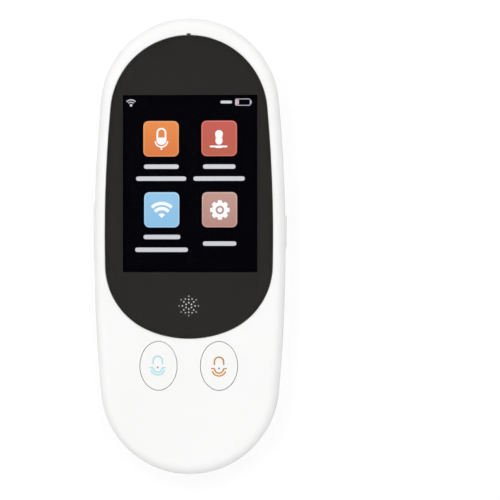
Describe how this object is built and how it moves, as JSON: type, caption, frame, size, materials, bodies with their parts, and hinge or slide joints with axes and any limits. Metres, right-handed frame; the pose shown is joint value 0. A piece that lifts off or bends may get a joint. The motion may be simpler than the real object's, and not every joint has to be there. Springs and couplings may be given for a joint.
{
  "type": "handheld translator",
  "caption": "Slim oblong pocket translator with an egg-shaped lens over a small screen, sound holes and two oval talk buttons that press in.",
  "frame": {"origin": "middle of the back face, on the surface that the device lies on", "axes": "+Z out of the screen, +Y along the body towards its top end, +X to the right of the screen"},
  "size_m": [0.0532, 0.125, 0.0125],
  "materials": {
    "white_shell": "satin",
    "lens_glass": "polished",
    "black_print": "satin",
    "black_tape": "matte",
    "pale_cloth": "matte",
    "white_button": "satin",
    "screen_glass": "polished",
    "white_frame": "matte",
    "amber_flex": "satin",
    "grey_foam": "matte",
    "black_plastic": "satin",
    "white_plastic": "satin",
    "steel": "brushed",
    "green_board": "gloss",
    "silver_wrap": "satin",
    "wire_red": "satin"
  },
  "bodies": {
    "device": {"front_shell": "white_shell", "back_shell": "white_shell", "cover_lens": "lens_glass", "mask_film": "black_print", "lens_tape": "black_tape", "acoustic_mesh": "pale_cloth", "speaker_gasket": "grey_foam", "speaker": "black_plastic", "display_gasket": "grey_foam", "display_cell": "screen_glass", "backlight_frame": "white_frame", "display_flex": "amber_flex", "left_talk_switch": "black_plastic", "right_talk_switch": "black_plastic", "power_switch": "black_plastic", "volume_switches": "black_plastic", "main_board": "green_board", "shield_can": "steel", "processor_chip": "black_plastic", "memory_chip": "black_plastic", "battery_pad": "grey_foam", "battery_cell": "silver_wrap", "battery_socket": "white_plastic", "battery_plug": "white_plastic", "battery_leads": "wire_red", "usb_shell": "steel", "usb_tongue": "black_plastic", "microphone": "steel", "microphone_boot": "black_tape", "antenna_flex": "amber_flex", "shell_screws": "steel"},
    "left_button": {"left_talk_button": "white_button", "left_plunger": "white_plastic"},
    "right_button": {"right_talk_button": "white_button", "right_plunger": "white_plastic"},
    "power": {"power_key": "white_button", "power_plunger": "white_plastic"},
    "rocker": {"volume_rocker": "white_button", "volume_plungers": "white_plastic"}
  },
  "joints": [
    {"name": "left_talk_press", "type": "slide", "parent": "device", "child": "left_button", "axis": [0, 0, -1], "range_m": [0, 0.0003], "stiffness_N_per_m": 450, "springref_m": -0.0008},
    {"name": "right_talk_press", "type": "slide", "parent": "device", "child": "right_button", "axis": [0, 0, -1], "range_m": [0, 0.0003], "stiffness_N_per_m": 450, "springref_m": -0.0008},
    {"name": "power_press", "type": "slide", "parent": "device", "child": "power", "axis": [-1, 0, 0], "range_m": [0, 0.00025], "stiffness_N_per_m": 450, "springref_m": -0.0008},
    {"name": "volume_rock", "type": "hinge", "parent": "device", "child": "rocker", "pos_m": [-0.02448, 0.004, 0.0069], "axis": [0, 0, 1], "range_deg": [-2, 2], "stiffness_Nm_per_rad": 0.05}
  ]
}
